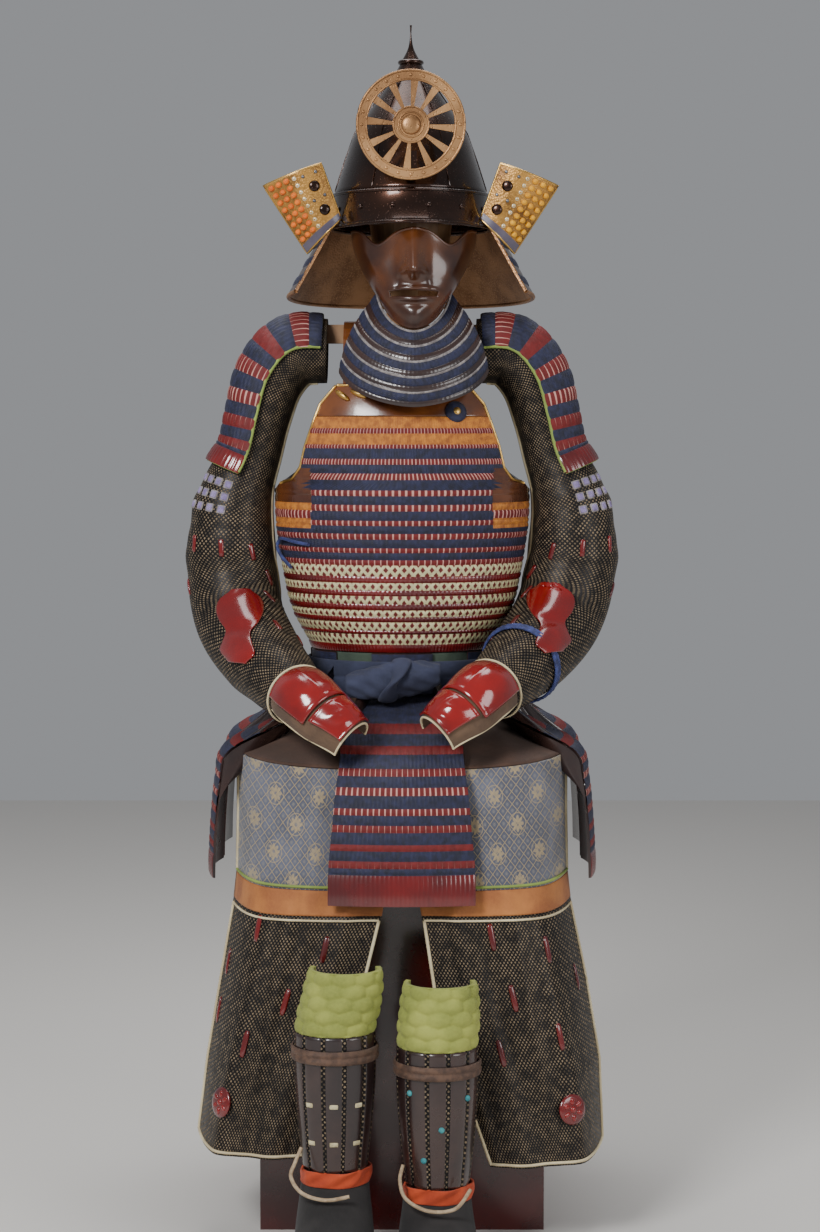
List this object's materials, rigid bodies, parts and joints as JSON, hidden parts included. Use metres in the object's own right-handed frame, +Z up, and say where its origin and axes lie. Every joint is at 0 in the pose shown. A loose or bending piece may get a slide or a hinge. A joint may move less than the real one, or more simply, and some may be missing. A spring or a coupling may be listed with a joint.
{
  "type": "samurai armour on its armour box and stand",
  "caption": "Seated samurai armour: helmet, mask, laced cuirass, sleeves, skirt, thigh apron, shin guards and shoes, on its lacquered box and a plain wooden stand.",
  "frame": {"origin": "centre of the whole part's box, on the surface it stands on", "axes": "+Z up; the armour faces -Y; the wearer's right side is at -X"},
  "size_m": [0.5994, 0.7576, 1.635],
  "materials": {
    "iron": "russet black iron, glossy and pitted",
    "gilt": "aged gilt",
    "gilt_leather": "gilded leather",
    "brown_lacquer": "glossy brown lacquer",
    "red_lacquer": "glossy red lacquer",
    "lacing": "navy silk lacing on red lacquered lames",
    "green_cloth": "plain weave",
    "sash": "soft twill",
    "mail": "mail on cloth",
    "linen": "plain weave",
    "brocade": "figured silk",
    "tan_leather": "smooth leather",
    "quilting": "quilted cloth",
    "brown_cord": "braid",
    "black_leather": "dull leather",
    "orange_cloth": "soft cloth",
    "stand_wood": "plain waxed wood"
  },
  "bodies": {
    "root": {"ankle_cord_l": "brown_cord", "ankle_cord_r": "brown_cord", "apron_band_l": "tan_leather", "apron_band_r": "tan_leather", "apron_brocade_l": "brocade", "apron_brocade_r": "brocade", "apron_mail_l": "mail", "apron_mail_r": "mail", "apron_top": "linen", "armour_box": "red_lacquer", "box_lid": "red_lacquer", "chest_plate": "brown_lacquer", "crest_holder": "iron", "cuirass_back": "lacing", "cuirass_front": "lacing", "face_mask": "brown_lacquer", "forearm_plate_l": "red_lacquer", "forearm_plate_r": "red_lacquer", "forearm_tie": "sash", "hand_cloth_l": "linen", "hand_cloth_r": "linen", "hand_cover_l": "red_lacquer", "hand_cover_r": "red_lacquer", "hand_plate_l": "red_lacquer", "hand_plate_r": "red_lacquer", "helmet_bowl": "iron", "helmet_brim": "iron", "helmet_crest": "gilt", "knee_pad_l": "quilting", "knee_pad_r": "quilting", "neck_guard": "lacing", "sash_band": "sash", "sash_knot": "sash", "shin_guard_l": "mail", "shin_guard_r": "mail", "shin_tie_l": "brown_cord", "shin_tie_r": "brown_cord", "shoe_collar_l": "orange_cloth", "shoe_collar_r": "orange_cloth", "shoe_l": "black_leather", "shoe_r": "black_leather", "shoulder_guard_l": "lacing", "shoulder_guard_r": "lacing", "shoulder_strap_l": "brown_lacquer", "shoulder_strap_r": "brown_lacquer", "side_tie": "sash", "sleeve_l": "mail", "sleeve_r": "mail", "stand": "stand_wood", "tasset_back_l": "lacing", "tasset_back_r": "lacing", "tasset_front": "lacing", "tasset_front_l": "lacing", "tasset_front_r": "lacing", "tasset_side_l": "lacing", "tasset_side_r": "lacing", "throat_guard": "lacing", "turnback_l": "gilt_leather", "turnback_r": "gilt_leather", "waist_edge": "green_cloth"}
  },
  "joints": []
}
